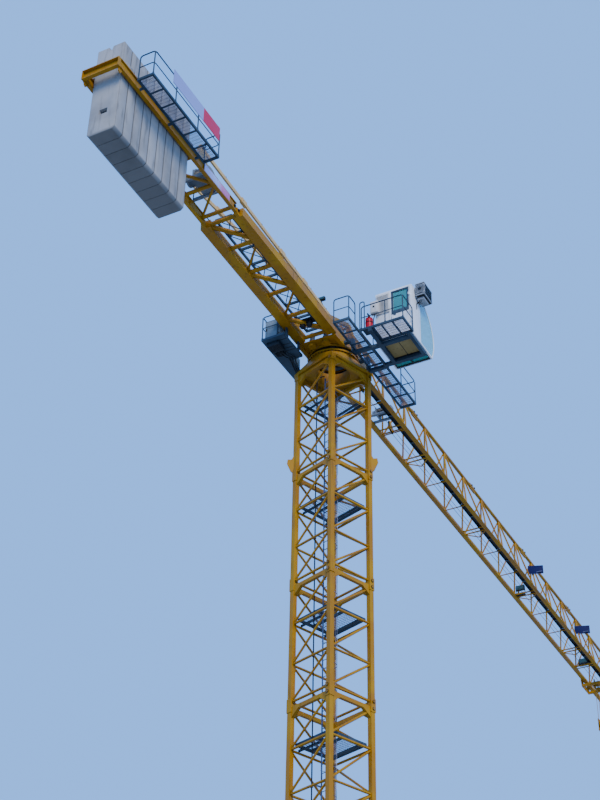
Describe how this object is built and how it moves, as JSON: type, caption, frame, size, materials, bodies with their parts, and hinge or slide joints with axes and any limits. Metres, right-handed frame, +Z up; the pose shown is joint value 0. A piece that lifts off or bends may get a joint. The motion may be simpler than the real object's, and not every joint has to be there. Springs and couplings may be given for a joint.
{
  "type": "flat-top tower crane, 1:2 scale model",
  "caption": "Flat-top tower crane: square lattice mast, slewing ring, triangular lattice jib with trolley and hook, counter jib with concrete slabs, and side cab.",
  "frame": {"origin": "centre of the mast foot's flat underside, on the slewing axis", "axes": "+X along the jib from the slewing axis to its head at rest, +Y to the left of it, +Z up"},
  "size_m": [25.81, 2.6194, 18.652],
  "materials": {
    "crane_yellow": "semi-gloss enamel, weathered",
    "platform_steel": "blue-grey paint over galvanised steel",
    "grating": "dull galvanised grating",
    "bearing_steel": "greased bearing steel",
    "winch_grey": "satin machine paint",
    "concrete": "cast concrete, form marks",
    "cabinet_grey": "satin powder coat",
    "panel_white": "sheet metal, two colours, no lettering",
    "cab_white": "gloss white paint",
    "cab_floor": "film-faced plywood, worn",
    "tinted_glass": "tinted laminated glass",
    "cooler_grey": "satin sheet steel",
    "safety_red": "gloss red paint",
    "wheel_steel": "machined, dark"
  },
  "bodies": {
    "tower": {"mast_foot": "crane_yellow", "mast_section_1": "crane_yellow", "mast_section_2": "crane_yellow", "mast_section_3": "crane_yellow", "mast_section_4": "crane_yellow", "mast_section_5": "crane_yellow", "mast_section_6": "crane_yellow", "mast_section_7": "crane_yellow", "mast_section_8": "crane_yellow", "rest_platforms": "platform_steel", "rest_gratings": "grating", "mast_ladder": "platform_steel", "slewing_support": "crane_yellow", "ring_lower_race": "bearing_steel"},
    "upperworks": {"ring_upper_race": "bearing_steel", "slewing_platform": "crane_yellow", "head_frame": "crane_yellow", "jib_section_1": "crane_yellow", "jib_section_2": "crane_yellow", "jib_section_3": "crane_yellow", "jib_section_4": "crane_yellow", "jib_section_5": "crane_yellow", "jib_section_6": "crane_yellow", "jib_head": "crane_yellow", "jib_catwalk": "platform_steel", "trolley_winch": "winch_grey", "counter_jib_inner": "crane_yellow", "counter_jib_outer": "crane_yellow", "counter_jib_ties": "crane_yellow", "counter_jib_walkway": "platform_steel", "counterweight_slabs": "concrete", "hoist_winch": "winch_grey", "weight_platform": "platform_steel", "right_walkway": "platform_steel", "left_platform": "platform_steel", "guard_rails": "platform_steel", "rail_panel": "panel_white", "upper_gratings": "grating", "switch_cabinets": "cabinet_grey", "cab_platform": "platform_steel", "cab_shell": "cab_white", "cab_floor": "platform_steel", "cab_floor_boards": "cab_floor", "cab_glass": "tinted_glass", "air_conditioner": "cooler_grey", "fire_extinguisher": "safety_red"},
    "cab_door": {"cab_door": "cab_white", "door_glass": "tinted_glass"},
    "trolley": {"trolley_frame": "crane_yellow", "trolley_wheels": "wheel_steel", "hook_block": "crane_yellow"}
  },
  "joints": [
    {"name": "slewing", "type": "hinge", "parent": "tower", "child": "upperworks", "pos_m": [0, 0, 17.452], "axis": [0, 0, 1], "continuous": true},
    {"name": "trolley_travel", "type": "slide", "parent": "upperworks", "child": "trolley", "axis": [1, 0, 0], "range_m": [-12.3, 3.9]},
    {"name": "cab_door_swing", "type": "hinge", "parent": "upperworks", "child": "cab_door", "pos_m": [-0.33, -1.627, 17.75], "axis": [0, 0, 1], "range_deg": [0, 90]}
  ]
}
